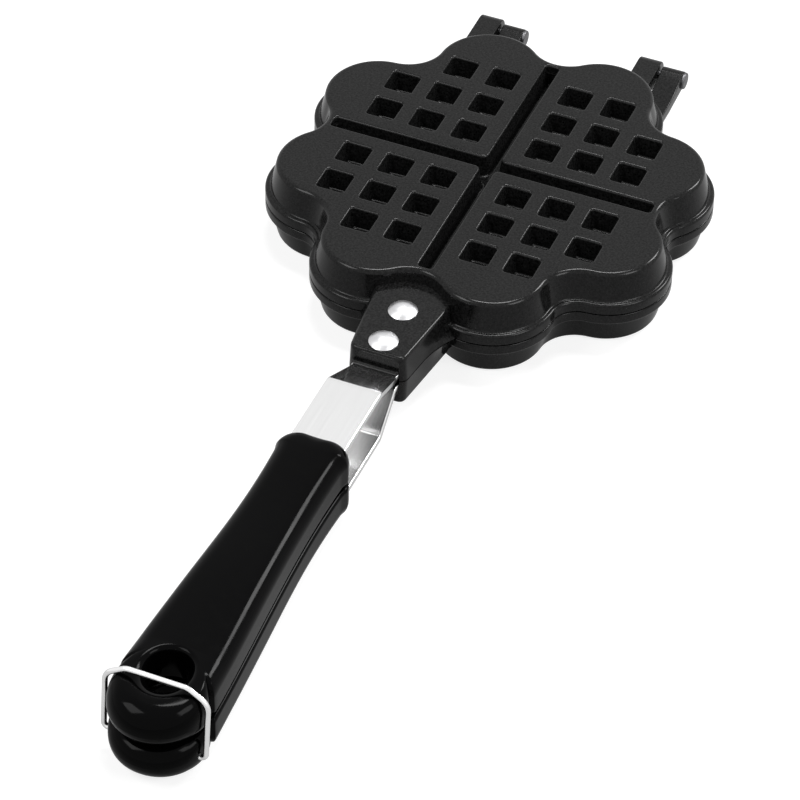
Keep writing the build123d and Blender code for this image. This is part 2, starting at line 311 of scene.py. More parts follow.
def rounded_route(corners, radii, count):
    """Open route of straight runs: each inner corner becomes an arc tangent to both its runs."""
    corners = np.array(corners)
    route = [corners[:1]]
    for before, corner, after, radius in zip(corners, corners[1:], corners[2:], radii):
        inward, outward = (corner - before) / abs(corner - before), (after - corner) / abs(after - corner)
        turn = np.angle(outward / inward)
        setback = radius * tan(abs(turn) / 2)
        side = 1j * np.sign(turn)
        start = corner - inward * setback
        swing = np.exp(1j * np.linspace(0, turn, count))
        route.append(start + side * inward * radius - side * inward * radius * swing)
    return np.concatenate(route + [corners[-1:]])


def rosette(grow):
    """Eight-lobed outline grown by that much: lobe arcs of radius + grow, valley arcs of radius - grow."""
    lobe = arc(LOBE_RING, LOBE_RADIUS + grow, -lobe_spread, lobe_spread, LOBE_POINTS)
    valley_end = 180 + 2 * degrees(half_step) - lobe_spread
    valley = arc(valley_centre, VALLEY_RADIUS - grow, 180 + lobe_spread, valley_end, VALLEY_POINTS)
    turns = np.exp(1j * half_step * (2 * np.arange(LOBE_COUNT) + 1))
    return (turns[:, None] * np.concatenate((lobe, valley[1:-1]))).ravel()


def rosette_edge(x, grow):
    """How far the outline beside the Y axis lies from the X axis at each x: valley arc, then lobe arc."""
    lobe = LOBE_RING * np.exp(1j * (pi / 2 - half_step))
    touch = lobe.real * LOBE_RADIUS / (LOBE_RADIUS + VALLEY_RADIUS)
    side = np.abs(x)
    valley_y = valley_ring - np.sqrt(np.maximum((VALLEY_RADIUS - grow) ** 2 - side**2, 0))
    lobe_y = lobe.imag + np.sqrt(np.maximum((LOBE_RADIUS + grow) ** 2 - (side - lobe.real) ** 2, 0))
    return np.where(side < lobe.real - touch, valley_y, lobe_y)


def square(half, corner):
    """Square outline of that half width: four quarter circles of radius corner, each a quarter turn on."""
    return four_times(arc((half - corner) * (1 + 1j), corner, 0, 90, CORNER_POINTS))


def cross(half, reach, corner, crossing):
    """Plus-shaped outline: two rounded arm corners and a hollow one at the crossing, four times round."""
    quarter = (
        arc(reach - corner + 1j * (half - corner), corner, 0, 90, CORNER_POINTS),
        arc((half + crossing) * (1 + 1j), crossing, 270, 180, CROSSING_POINTS),
        arc(half - corner + 1j * (reach - corner), corner, 0, 90, CORNER_POINTS),
    )
    return four_times(np.concatenate(quarter))


def sunk_profile(level, depth, draft, lip, foot):
    """Profile down a drafted wall: a round of radius lip, the draft, and a hollow round of radius foot."""
    lean = radians(draft)
    lip_centre = lip / cos(lean) - lip * tan(lean) + 1j * (level - lip)
    foot_height = level - depth + foot
    foot_centre = -foot / cos(lean) - (level - foot_height) * tan(lean) + 1j * foot_height
    lip_arc = arc(lip_centre, lip, 90, 180 - draft, ROUND_POINTS)
    return np.concatenate((lip_arc, arc(foot_centre, foot, -draft, -90, ROUND_POINTS)))


def raised(plan, height):
    """Points of a plan outline at a height."""
    return np.stack(np.broadcast_arrays(plan.real, plan.imag, height), axis=-1)


def upright(x, view):
    """Points of a side view, given as y + iz, at x."""
    return np.stack(np.broadcast_arrays(x, view.real, view.imag), axis=-1)


def carried(outline, profile):
    """Grid with one row per point of the profile: the outline for that offset, at that height."""
    return np.stack([raised(outline(point.real), point.imag) for point in profile])


def woven(grid, closed=True):
    """Surface of quads between a grid's rows and columns; if closed, its last column joins its first."""
    rows, columns = grid.shape[:2]
    places = np.arange(rows * columns).reshape(rows, columns)
    if closed:
        places = np.hstack((places, places[:, :1]))
    corners = (places[:-1, :-1], places[:-1, 1:], places[1:, 1:], places[1:, :-1])
    return grid.reshape(-1, 3), np.stack(corners, axis=-1).reshape(-1, 4).tolist()


def cap(points):
    """Surface of one face round those points."""
    return points, [list(range(len(points)))]


def inside(outline, places):
    """Which places lie inside a closed outline: a ray towards +X crosses it an odd number of times."""
    start, end = outline[:, None], np.roll(outline, -1)[:, None]
    spans = (start.imag > places.imag) != (end.imag > places.imag)
    rise = np.where(spans, end.imag - start.imag, 1)
    crossing = start.real + (places.imag - start.imag) * (end.real - start.real) / rise
    return (spans & (places.real < crossing)).sum(axis=0) % 2 == 1


def pierced(outline, holes):
    """Flat surface between an outline and its holes: the triangles with middles in it and in no hole."""
    loops = [outline, *holes]
    starts = np.cumsum([0] + [len(loop) for loop in loops])
    links = [
        np.stack((np.arange(len(loop)), np.roll(np.arange(len(loop)), -1)), axis=-1) + start
        for loop, start in zip(loops, starts)
    ]
    plan = np.concatenate(loops)
    pairs = [Vector(pair) for pair in zip(plan.real, plan.imag)]
    edges = np.concatenate(links).tolist()
    corners, _, triangles, *_ = delaunay_2d_cdt(pairs, edges, [], INNER_TRIANGLES, PLAN_TOLERANCE)
    corners = np.array(corners) @ (1, 1j)
    triangles = np.array(triangles)
    middles = corners[triangles].mean(axis=1)
    kept = inside(outline, middles)
    for hole in holes:
        kept &= ~inside(hole, middles)
    return corners, triangles[kept].tolist()


def level_face(outline, holes, height):
    """Horizontal surface between an outline and its holes."""
    corners, triangles = pierced(outline, holes)
    return raised(corners, height), triangles


def shifted(surface, move):
    """The surface moved by (x, y, z)."""
    return surface[0] + np.array(move), surface[1]


def turned_over(surfaces):
    """The surfaces mirrored in the parting plane: height becomes full height less height."""
    return [(points * (1, 1, -1) + (0, 0, FULL_HEIGHT), faces) for points, faces in surfaces]


def turned(profile, sides):
    """Turned solid about the Z axis: a circle of each profile point's radius at its height."""

    def circle(radius):
        """Circle of that radius, or nearly a point on the axis, which merging closes."""
        return ring(max(radius, POLE_RADIUS), sides)

    return [woven(carried(circle, profile))]


def block(size, middle, edge):
    """Box with its upright corners and level edges rounded: a rounded rectangle carried down a profile."""
    half = np.array(size) / 2
    middles = CORNER_SIGNS.real * (half[0] - edge) + 1j * CORNER_SIGNS.imag * (half[1] - edge)
    corners = four_times(arc(0, 1, 0, 90, ROUND_POINTS))

    def plan(offset):
        """Rounded rectangle, its four quarter circles of radius edge + offset."""
        return np.repeat(middles, ROUND_POINTS) + (edge + offset) * corners

    upper_edge = arc(-edge + 1j * (half[2] - edge), edge, 90, 0, EDGE_POINTS)
    lower_edge = arc(-edge - 1j * (half[2] - edge), edge, 0, -90, EDGE_POINTS)
    grid = carried(plan, np.concatenate((upper_edge, lower_edge)))
    return [shifted(part, middle) for part in (woven(grid), cap(grid[0]), cap(grid[-1]))]


def pit_places():
    """Middles of the pits: a square grid in each quadrant without its outer corner."""
    column, row = np.meshgrid(range(PIT_ROWS), range(PIT_ROWS))
    quadrant = PIT_FIRST * (1 + 1j) + PIT_PITCH * (column + 1j * row)
    return four_times(quadrant[column + row < 2 * (PIT_ROWS - 1)])


def pit(offset):
    """A pit's square outline moved outwards by offset, its corners opening with it."""
    return square(PIT_HALF + offset, PIT_CORNER + max(offset, 0))


def stud(offset):
    """A hollow stud's square outline moved outwards by offset, its corners opening with it."""
    return square(STUD_HALF + offset, STUD_CORNER + max(offset, 0))


def groove(offset):
    """The crossing grooves' outline moved outwards by offset, their corners changing with it."""
    corner = GROOVE_CORNER + max(offset, -GROOVE_CORNER_LOSS)
    return cross(GROOVE_HALF + offset, GROOVE_REACH + offset, corner, CROSSING_RADIUS - offset)


def ridge(offset):
    """The crossing ridges' outline widened by offset; their ends stay in the plate's wall."""
    return cross(RIDGE_HALF + offset, RIDGE_REACH, GROOVE_CORNER, CROSSING_RADIUS - offset)


def wall_profile():
    """Profile of a plate's skin: rim, drafted wall, flange, land, then up the hollow's wall to its floor."""
    lean = radians(WALL_DRAFT)
    foot_height = FLANGE_TOP + FOOT_RADIUS
    hollow_height = FLOOR_LEVEL - HOLLOW_RADIUS
    rim = RIM_RADIUS * (sin(lean) - 1) / cos(lean) + 1j * (FULL_HEIGHT - RIM_RADIUS)
    foot = (FOOT_RADIUS + (FULL_HEIGHT - foot_height) * sin(lean)) / cos(lean) + 1j * foot_height
    ledge = FLANGE_REACH - FLANGE_RADIUS + 1j * (FLANGE_TOP - FLANGE_RADIUS)
    land = FLANGE_REACH - EDGE_RADIUS + 1j * (LAND_LEVEL + EDGE_RADIUS)
    mouth = EDGE_RADIUS * (1 - sin(lean)) / cos(lean) - HOLLOW_INSET + 1j * (LAND_LEVEL + EDGE_RADIUS)
    floor_offset = (HOLLOW_RADIUS + (hollow_height - LAND_LEVEL) * sin(lean)) / cos(lean)
    hollow = -HOLLOW_INSET - floor_offset + 1j * hollow_height
    rounds = (
        arc(rim, RIM_RADIUS, 90, WALL_DRAFT, RIM_POINTS),
        arc(foot, FOOT_RADIUS, 180 + WALL_DRAFT, 270, ROUND_POINTS),
        arc(ledge, FLANGE_RADIUS, 90, 0, CREST_POINTS),
        arc(land, EDGE_RADIUS, 0, -90, EDGE_POINTS),
        arc(mouth, EDGE_RADIUS, 270, 180 + WALL_DRAFT, EDGE_POINTS),
        arc(hollow, HOLLOW_RADIUS, WALL_DRAFT, 90, ROUND_POINTS),
    )
    return np.concatenate(rounds)


def sunk(outline, profile, places):
    """Pits or studs: the outline carried down the profile at each place, closed by its last ring."""
    grid = carried(outline, profile)
    moves = [(place.real, place.imag, 0) for place in places]
    return [shifted(part, move) for move in moves for part in (woven(grid), cap(grid[-1]))]


def skin():
    """A plate's shell: its wall, its pierced face with pits and grooves, its floor with studs and ridges."""
    places = pit_places()
    wall = wall_profile()
    pit_run = sunk_profile(FULL_HEIGHT, PIT_DEPTH, PIT_DRAFT, PIT_LIP, PIT_FOOT)
    groove_run = sunk_profile(FULL_HEIGHT, GROOVE_DEPTH, GROOVE_DRAFT, PIT_LIP, PIT_FOOT)
    stud_depth = PIT_DEPTH + METAL_UNDER - (FULL_HEIGHT - FLOOR_LEVEL)
    ridge_depth = GROOVE_DEPTH + METAL_UNDER - (FULL_HEIGHT - FLOOR_LEVEL)
    stud_run = sunk_profile(FLOOR_LEVEL, stud_depth, PIT_DRAFT, PIT_FOOT, PIT_LIP)
    ridge_run = sunk_profile(FLOOR_LEVEL, ridge_depth, GROOVE_DRAFT, PIT_FOOT, PIT_LIP)
    openings = [place + pit(pit_run[0].real) for place in places] + [groove(groove_run[0].real)]
    roots = [place + stud(stud_run[0].real) for place in places] + [ridge(ridge_run[0].real)]
    return [
        woven(carried(rosette, wall)),
        level_face(rosette(wall[0].real), openings, FULL_HEIGHT),
        level_face(rosette(wall[-1].real), roots, FLOOR_LEVEL),
        *sunk(pit, pit_run, places),
        *sunk(groove, groove_run, [0j]),
        *sunk(stud, stud_run, places),
        *sunk(ridge, ridge_run, [0j]),
    ]


def boss_section(place, depth):
    """Section of the boss at a place, above a slot of that depth: top, crest, side, land and slot, mirrored.

    Near the boss's end, its half width and its height shrink along quarter circles, which rounds
    the corners and the top edge. The side leans out by the draft and flares at its foot, by the cube
    of the share dropped and by the square of the share of the flare's length that is left.
    """
    along = (place - BOSS_ROOT) / (BOSS_END - BOSS_ROOT)
    into_corner = max(BOSS_CORNER - (BOSS_END - place), 0)
    into_edge = max(BOSS_CREST - (BOSS_END - place), 0)
    half = BOSS_ROOT_HALF + (BOSS_END_HALF - BOSS_ROOT_HALF) * along
    half -= BOSS_CORNER - sqrt(BOSS_CORNER**2 - into_corner**2)
    top = BOSS_TOP - BOSS_CREST + sqrt(BOSS_CREST**2 - into_edge**2)
    wall = top - BOSS_CREST - BOSS_LAND
    flare = BOSS_FLARE * max(1 - (place - SLOT_START) / BOSS_FLARE_LENGTH, 0) ** 2
    drop = np.linspace(0, 1, BOSS_SIDE_POINTS + 1)[1:]
    level = np.linspace(0, half - BOSS_CREST, BOSS_TOP_POINTS)[:-1] + 1j * top
    crest = arc(half - BOSS_CREST + 1j * (top - BOSS_CREST), BOSS_CREST, 90, 0, CREST_POINTS)
    side = half + wall * tan(radians(BOSS_DRAFT)) * drop + flare * drop**3
    side = side + 1j * (BOSS_LAND + wall * (1 - drop))
    slot = np.array((SLOT_HALF, SLOT_HALF, 0)) + 1j * (BOSS_LAND + np.array((0, depth, depth)))
    right = np.concatenate((level, crest, side, slot))
    section = np.concatenate((right, -right.conj()[-2:0:-1]))
    return np.stack((section.real, np.full(len(section), -place), section.imag), axis=-1)


def boss():
    """Handle boss: its section carried towards the grip, with a lip over the strap at its end.

    Two rows come before the sections: a point inside the plate's wall, which closes the skin, and a
    root that follows the rosette's outline inside the wall, no further out than the first section.
    """
    front = BOSS_END - BOSS_CORNER * (1 - np.cos(quarter_sweep(BOSS_CORNER_POINTS)))
    straight = np.linspace(SLOT_START, front[-1], BOSS_STATIONS)[:-1]
    slot_depth = STRAP_SEAT_TOP - BOSS_LAND
    rows = [boss_section(SLOT_START, 0)]
    rows += [boss_section(place, slot_depth) for place in (*straight, *front[::-1])]
    root = rows[0].copy()
    grow = FLANGE_REACH / 2 - (root[:, 2] - BOSS_LAND) * tan(radians(WALL_DRAFT))
    root[:, 1] = np.maximum(-rosette_edge(root[:, 0], grow), -SLOT_START)
    heart = np.broadcast_to(BOSS_HEART, root.shape)
    grid = np.array([heart, root, *rows])
    lip_size = (TONGUE_HALF * 2, BOSS_LIP_REACH + BOSS_CORNER, BOSS_LIP_HEIGHT)
    lip_middle = (0, -BOSS_END - (BOSS_LIP_REACH - BOSS_CORNER) / 2, STRAP_SEAT_TOP + BOSS_LIP_HEIGHT / 2)
    return [woven(grid), cap(grid[-1]), *block(lip_size, lip_middle, EDGE_RADIUS)]


def arm(first, eye_radius):
    """Hinge arm: a root in the flange drawn into a round eye, across its width, with rounded side edges.

    Its side view is flange top, tangent to the eye, round it, and tangent back to the land.
    """
    eye = HINGE_PLACE + 1j * HALF_HEIGHT
    bore = eye + ring(EYE_BORE, BORE_SIDES)

    def tangent(place, sign):
        """Angle on the eye where a line from the place touches it, to the side that sign tells."""
        gap = abs(place - eye)
        return degrees(np.angle(place - eye) + sign * np.arccos(eye_radius / gap))

    upper, lower = ARM_NECK + 1j * FLANGE_TOP, ARM_LOWER_NECK + 1j * LAND_LEVEL
    sweep_start, sweep_end = tangent(upper, -1), tangent(lower, 1) % 360 - 360

    def side_view(x, inset):
        """Side view at x with its top, eye and underside moved in by inset."""
        root = rosette_edge(x, ARM_ROOT_GROW)
        step = 1j * inset
        round_eye = arc(eye, eye_radius - inset, sweep_start, sweep_end, EYE_POINTS)
        above = [root + 1j * (FLANGE_TOP - ROOT_SINK) - step, upper - step]
        below = [lower + step, root + 1j * (LAND_LEVEL + ROOT_SINK) + step]
        return np.concatenate((above, round_eye, below))

    steps = ARM_EDGE * (1 - np.sin(quarter_sweep(EDGE_POINTS)))
    insets = np.concatenate((steps, steps[::-1]))
    reaches = ARM_EDGE * (1 - np.cos(quarter_sweep(EDGE_POINTS)))
    places = np.concatenate((first + reaches, first + EYE_WIDTH - reaches[::-1]))
    views = [side_view(x, inset) for x, inset in zip(places, insets)]
    outside = np.stack([upright(x, view) for x, view in zip(places, views)])
    bored = np.stack([upright(x, bore) for x in (places[0], places[-1])])
    sides = []
    for x, view in ((places[0], views[0]), (places[-1], views[-1])):
        corners, triangles = pierced(view, [bore])
        sides.append((upright(x, corners), triangles))
    return [woven(outside), woven(bored), *sides]


def rivet(place):
    """Domed rivet, turned: a cap of a sphere over a short edge, a shank, and a tail of half an ellipse."""
    rise = RIVET_HEIGHT - RIVET_EDGE
    dome = (RIVET_HEAD**2 + rise**2) / (2 * rise)
    opening = degrees(np.arcsin(RIVET_HEAD / dome))
    head = arc(1j * (BOSS_TOP + RIVET_HEIGHT - dome), dome, 90, 90 - opening, DOME_POINTS)
    shank = RIVET_SHANK + 1j * np.array((BOSS_TOP, STRAP_SEAT))
    swing = quarter_sweep(CREST_POINTS)
    tail = RIVET_TAIL * np.cos(swing) + 1j * (STRAP_SEAT - RIVET_TAIL_HEIGHT * np.sin(swing))
    run = np.concatenate((head, [RIVET_HEAD + 1j * BOSS_TOP], shank, tail))
    return [shifted(part, (0, -place, 0)) for part in turned(run, RIVET_SIDES)]


def pin(centre):
    """Hinge pin, turned and laid along X: a rounded head, a plain shank and a peened tail."""
    start, end = -EYE_GAP / 2 - EYE_WIDTH - SIDE_CLEARANCE, EYE_GAP / 2 + EYE_WIDTH
    tail_end, head_end = start - PIN_TAIL_HEIGHT, end + PIN_HEAD_HEIGHT
    head_round = PIN_HEAD - PIN_HEAD_EDGE + 1j * (head_end - PIN_HEAD_EDGE)
    tail_round = PIN_TAIL - PIN_TAIL_EDGE + 1j * (tail_end + PIN_TAIL_EDGE)
    crown = arc(head_round, PIN_HEAD_EDGE, 90, 0, ROUND_POINTS)
    peen = arc(tail_round, PIN_TAIL_EDGE, 0, -90, ROUND_POINTS)
    shank = [PIN_HEAD + 1j * end, PIN_RADIUS + 1j * end, PIN_RADIUS + 1j * start, PIN_TAIL + 1j * start]
    run = np.concatenate(([1j * head_end], crown, shank, peen, [1j * tail_end]))
    ((points, faces),) = turned(run, PIN_SIDES)
    return [(points[:, [2, 0, 1]] + (centre, HINGE_PLACE, HALF_HEIGHT), faces)]


def strap():
    """Strap: a rounded rectangle carried along its cranked side view, as wide as its plan at each place."""
    middle = STRAP_THICKNESS / 2
    seat, level = 1j * (STRAP_SEAT + middle), 1j * (STRAP_LEVEL + middle)
    corners = (-SLOT_START + seat, -CRANK_START + seat, -CRANK_END + level, -TANG_END + level)
    bends = rounded_route(corners, (STRAP_BEND, STRAP_BEND), STRAP_BEND_POINTS)
    shoulder = np.array((-TANG_SHOULDER, -TANG_SHOULDER - SHOULDER_LENGTH)) + level
    route = np.concatenate((bends[:-1], shoulder, bends[-1:]))
    run = np.gradient(route)
    normal = 1j * run / abs(run)
    tongue = np.interp(-route.real, (CRANK_START, CRANK_END), (TONGUE_HALF, STRAP_HALF))
    half = np.where(-route.real > TANG_SHOULDER, TANG_HALF, tongue)
    edge = four_times(arc(-STRAP_EDGE * (1 + 1j), STRAP_EDGE, 0, 90, EDGE_POINTS))
    signs = np.repeat(CORNER_SIGNS, EDGE_POINTS)
    lift = signs.imag * middle + edge.imag
    x = signs.real * half[:, None] + edge.real
    y = route.real[:, None] + normal.real[:, None] * lift
    z = route.imag[:, None] + normal.imag[:, None] * lift
    grid = np.stack((x, y, z), axis=-1)
    return [woven(grid), cap(grid[0]), cap(grid[-1])]


def grip_outline():
    """Right half of a grip's plan, from its front middle to its end: straight, corner, waisted side, knob.

    Also gives which of its points is level with the start of the hanging hole's lip.
    """
    side_places = (GRIP_START, GRIP_WAIST, GRIP_SWELL, NECK_PLACE)
    side_halves = (GRIP_FRONT_HALF, GRIP_WAIST_HALF, GRIP_SWELL_HALF, NECK_HALF)
    side = np.polynomial.Polynomial.fit(side_places, side_halves, len(side_places) - 1)
    corner_half, corner_place = side(GRIP_START) - GRIP_FRONT_CORNER, GRIP_START + GRIP_FRONT_CORNER
    front = np.linspace(0, corner_half, FRONT_POINTS)[:-1] - 1j * GRIP_START
    corner_middle = corner_half - 1j * corner_place
    corner = arc(corner_middle, GRIP_FRONT_CORNER, 90, GRIP_CORNER_END, FRONT_CORNER_POINTS)
    lead = np.linspace(corner_place, SCREW_PLACE - SCREW_POCKET, LEAD_POINTS)[1:-1]
    beside_pocket = SCREW_PLACE - SCREW_POCKET * np.cos(np.linspace(0, pi, POCKET_POINTS))
    rest = np.linspace(SCREW_PLACE + SCREW_POCKET, HOLE_LIP_START, SIDE_POINTS)[1:]
    places = np.concatenate((lead, beside_pocket, rest))
    body = np.concatenate((front, corner, side(places) - 1j * places))
    tail = np.linspace(HOLE_LIP_START, NECK_PLACE - NECK_EASE, NECK_POINTS)[1:]
    neck = [NECK_HALF - NECK_DIP - 1j * NECK_PLACE]
    knob_start = degrees(np.angle(NECK_HALF - 1j * NECK_PLACE + 1j * KNOB_CENTRE))
    knob = arc(-1j * KNOB_CENTRE, KNOB_RADIUS, knob_start, -90, KNOB_POINTS)
    return np.concatenate((body, side(tail) - 1j * tail, neck, knob)), len(body) - 1


def grip_underside(outline, below, knobward):
    """Rows of a grip from its targets on the inner face to its outline: level, then a quarter round."""
    lower_edge = GRIP_LOWER_EDGE + (KNOB_LOWER_EDGE - GRIP_LOWER_EDGE) * knobward
    inward = (below - outline) / abs(below - outline)
    roll = quarter_sweep(LOWER_EDGE_POINTS)[:, None]
    edge_plan = outline + inward * lower_edge * (1 - np.sin(roll))
    edge_height = GRIP_INNER + lower_edge * (1 - np.cos(roll))
    share = np.linspace(1, 0, INNER_POINTS)[:-1, None]
    inner_plan = edge_plan[0] + (below - edge_plan[0]) * share
    return [raised(inner_plan, GRIP_INNER), raised(edge_plan, edge_height)]


def grip_top(outline, above, knobward):
    """Rows of a grip from its outline to its targets on top: a quarter round, then a shallow parabola.

    The top's height eases from front to waist and from waist to swell. The parabola takes up the
    crest's last slope and ends level at the target.
    """
    along = -above.imag
    dip = eased((along - GRIP_START) / (GRIP_WAIST - GRIP_START))
    swell = eased((along - GRIP_WAIST) / (GRIP_SWELL - GRIP_WAIST))
    spine_top = GRIP_FRONT_TOP + (GRIP_WAIST_TOP - GRIP_FRONT_TOP) * dip + (GRIP_TOP - GRIP_WAIST_TOP) * swell
    crown = radians(GRIP_CROWN)
    crest = GRIP_CREST + (KNOB_CREST - GRIP_CREST) * knobward
    inward = (above - outline) / abs(above - outline)
    flat = abs(above - outline) - crest * (1 - sin(crown))
    shoulder = spine_top - tan(crown) * flat / 2
    rise = np.radians(np.linspace(0, 90 - GRIP_CROWN, GRIP_CREST_POINTS))[:, None]
    crest_plan = outline + inward * crest * (1 - np.cos(rise))
    crest_height = shoulder - crest * cos(crown) + crest * np.sin(rise)
    share = np.linspace(0, 1, GRIP_TOP_POINTS)[1:, None]
    top_plan = crest_plan[-1] + (above - crest_plan[-1]) * share
    top_height = shoulder + tan(crown) * flat * (share - share**2 / 2)
    return [raised(crest_plan, crest_height), raised(top_plan, top_height)]


def hanging_hole(rim, inner_rim, towards, lip):
    """Half of the hanging hole: a round down from the rim, the wall, and a round out to the inner face.

    Both are quarter rounds, of the lip's width at each place. The directions in towards run round
    the hole from its middle.
    """
    middle = -1j * HOLE_PLACE
    roll = quarter_sweep(LIP_POINTS)[1:, None]
    lip_plan = middle + (HOLE_RADIUS + lip * (1 - np.sin(roll))) * towards
    lip_height = rim[:, 2] - lip * (1 - np.cos(roll))
    roll = quarter_sweep(LOWER_LIP_POINTS)[1:, None]
    lower_plan = middle + (HOLE_RADIUS + HOLE_LIP * (1 - np.cos(roll))) * towards
    lower_height = GRIP_INNER + HOLE_LIP * (1 - np.sin(roll))
    rows = (rim[None], raised(lip_plan, lip_height), raised(lower_plan, lower_height), inner_rim[None])
    return woven(np.concatenate(rows), closed=False)


def screw_pocket():
    """Pocket for the grip screw: a circle carried straight from the inner face to its seat, closed there."""
    rim = arc(-1j * SCREW_PLACE, SCREW_POCKET, 90, -270, 2 * POCKET_POINTS - 1)[:-1]
    grid = np.stack((raised(rim, GRIP_INNER), raised(rim, SCREW_SEAT)))
    return [woven(grid), cap(grid[-1])]


def grip():
    """Grip: each row crosses from the spine of the inner face, round the side and crest, to the top's spine.

    Every outline point has a target above and one below: the spine level with it, the screw's
    pocket, or a point round the hanging hole's lip, in step with the length of the outline.
    """
    outline, lip_start = grip_outline()
    lengths = np.concatenate(([0], np.cumsum(abs(np.diff(outline[lip_start:])))))
    swing = lengths / lengths[-1]
    towards = np.exp(1j * (pi / 2 - pi * swing))
    lip = HOLE_LIP + (KNOB_LIP - HOLE_LIP) * np.sin(swing * pi / 2) ** KNOB_LIP_POWER
    above = -1j * np.clip(-outline.imag, SPINE_START, HOLE_LIP_START)
    below = above.copy()
    above[lip_start:] = -1j * HOLE_PLACE + (HOLE_RADIUS + lip) * towards
    below[lip_start:] = -1j * HOLE_PLACE + (HOLE_RADIUS + HOLE_LIP) * towards
    pocket = np.abs(-outline.imag - SCREW_PLACE) < SCREW_POCKET
    below[pocket] += np.sqrt(SCREW_POCKET**2 - (-outline.imag[pocket] - SCREW_PLACE) ** 2)
    knobward = np.clip((-outline.imag - KNOB_GROWTH_START) / KNOB_GROWTH_LENGTH, 0, 1) ** 2
    rows = (*grip_underside(outline, below, knobward), *grip_top(outline, above, knobward))
    grid = np.concatenate(rows)
    inner_rim = raised(below[lip_start:], GRIP_INNER)
    halves = [woven(grid, closed=False), hanging_hole(grid[-1, lip_start:], inner_rim, towards, lip)]
    mirrored = [(points * (-1, 1, 1), faces) for points, faces in halves]
    return [*halves, *mirrored, *screw_pocket()]


def bail():
    """Bail: a wire's circle carried round its route, which lies in one leaning plane."""
    leg = BAIL_LEGS / 2
    shoulder = 1j * (BAIL_REACH - BAIL_DROP)
    right = [BAIL_CROSSBAR / 2 + 1j * BAIL_REACH, leg + shoulder, leg + 0j, BAIL_FEET / 2 + 0j]
    corners = [-corner.conjugate() for corner in right[::-1]] + right
    radii = (BAIL_FOOT_BEND, BAIL_BEND, BAIL_BEND, BAIL_BEND, BAIL_BEND, BAIL_FOOT_BEND)
    route = rounded_route(corners, radii, BAIL_BEND_POINTS)
    run = np.gradient(route)
    normal = 1j * run / abs(run)
    wire = ring(WIRE_RADIUS, WIRE_SIDES)
    flat = route[:, None] + normal[:, None] * wire.real
    proud = np.broadcast_to(wire.imag, flat.shape)
    lean = radians(BAIL_LEAN)
    y = flat.imag * sin(lean) - proud * cos(lean) - BAIL_PLACE
    z = flat.imag * cos(lean) + proud * sin(lean) + BAIL_HEIGHT
    grid = np.stack((flat.real, y, z), axis=-1)
    return [woven(grid), cap(grid[0]), cap(grid[-1])]


def piece(name, surfaces, body, node, finish):
    """One object of those surfaces: merged, turned outwards, smooth but for its sharp edges."""
    starts = np.cumsum([0] + [len(points) for points, _ in surfaces]).tolist()
    points = np.concatenate([points for points, _ in surfaces])
    faces = []
    for (_, part), start in zip(surfaces, starts):
        faces += [[place + start for place in face] for face in part]
    mesh = bpy.data.meshes.new(name)
    mesh.from_pydata(((points + (0, ROSETTE_PLACE, 0)) * MM).tolist(), [], faces)
    shape = bmesh.new()
    shape.from_mesh(mesh)
    bmesh.ops.remove_doubles(shape, verts=shape.verts, dist=MERGE_DISTANCE)
    bmesh.ops.dissolve_degenerate(shape, edges=shape.edges, dist=DEGENERATE_LENGTH)
    bmesh.ops.recalc_face_normals(shape, faces=shape.faces)
    shape.to_mesh(mesh)
    shape.free()
    mesh.shade_smooth()
    mesh.set_sharp_from_angle(angle=radians(SHARP_ANGLE))
    mesh.materials.append(finish)
    made = bpy.data.objects.new(name, mesh)
    bpy.context.scene.collection.objects.link(made)
    weighted = made.modifiers.new("even_shading", "WEIGHTED_NORMAL")
    weighted.keep_sharp = True
    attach(made, body)
    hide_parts(node)


def pair(form, node, slot, finish, upper, lower=None):
    """The lid's piece and the base's, which is turned over; both have one shape if no lower one is given."""
    piece(f"upper_{form}", upper, "lid", f"upper_{node}", finish)
    piece(f"lower_{form}", turned_over(lower or upper), "base", f"lower_{node}", finish)


def finish_nodes(name, colour, metallic, roughness):
    """New material with its shader's plain values set, and the node tree to build its detail in."""
    made = bpy.data.materials.new(name)
    made.use_nodes = True
    tree = made.node_tree
    shader = tree.nodes["Principled BSDF"]
    shader.inputs["Base Color"].default_value = (*colour, 1)
    shader.inputs["Metallic"].default_value = metallic
    shader.inputs["Roughness"].default_value = roughness
    return made, tree, shader


def object_noise(tree, scale, detail, stretch=(1, 1, 1)):
    """Noise over the object's own coordinates, stretched along an axis by a smaller number there."""
    where = tree.nodes.new("ShaderNodeTexCoord")
    mapping = tree.nodes.new("ShaderNodeMapping")
    mapping.inputs["Scale"].default_value = stretch
    noise = tree.nodes.new("ShaderNodeTexNoise")
    noise.inputs["Scale"].default_value = scale
    noise.inputs["Detail"].default_value = detail
    tree.links.new(where.outputs["Object"], mapping.inputs["Vector"])
    tree.links.new(mapping.outputs["Vector"], noise.inputs["Vector"])
    return noise.outputs["Fac"]


def spread(tree, value, low, high, first=0.3, last=0.7):
    """The value run from first to last mapped onto low to high."""
    ramp = tree.nodes.new("ShaderNodeMapRange")
    for label, amount in (("From Min", first), ("From Max", last), ("To Min", low), ("To Max", high)):
        ramp.inputs[label].default_value = amount
    tree.links.new(value, ramp.inputs["Value"])
    return ramp.outputs["Result"]


def larger(tree, *values):
    """The largest of the values."""
    most = values[0]
    for value in values[1:]:
        node = tree.nodes.new("ShaderNodeMath")
        node.operation = "MAXIMUM"
        tree.links.new(most, node.inputs[0])
        tree.links.new(value, node.inputs[1])
        most = node.outputs["Value"]
    return most


def bumped(tree, shader, value, depth, strength):
    """Surface relief of that depth, in metres, from the value."""
    bump = tree.nodes.new("ShaderNodeBump")
    bump.inputs["Distance"].default_value = depth
    bump.inputs["Strength"].default_value = strength
    tree.links.new(value, bump.inputs["Height"])
    tree.links.new(bump.outputs["Normal"], shader.inputs["Normal"])


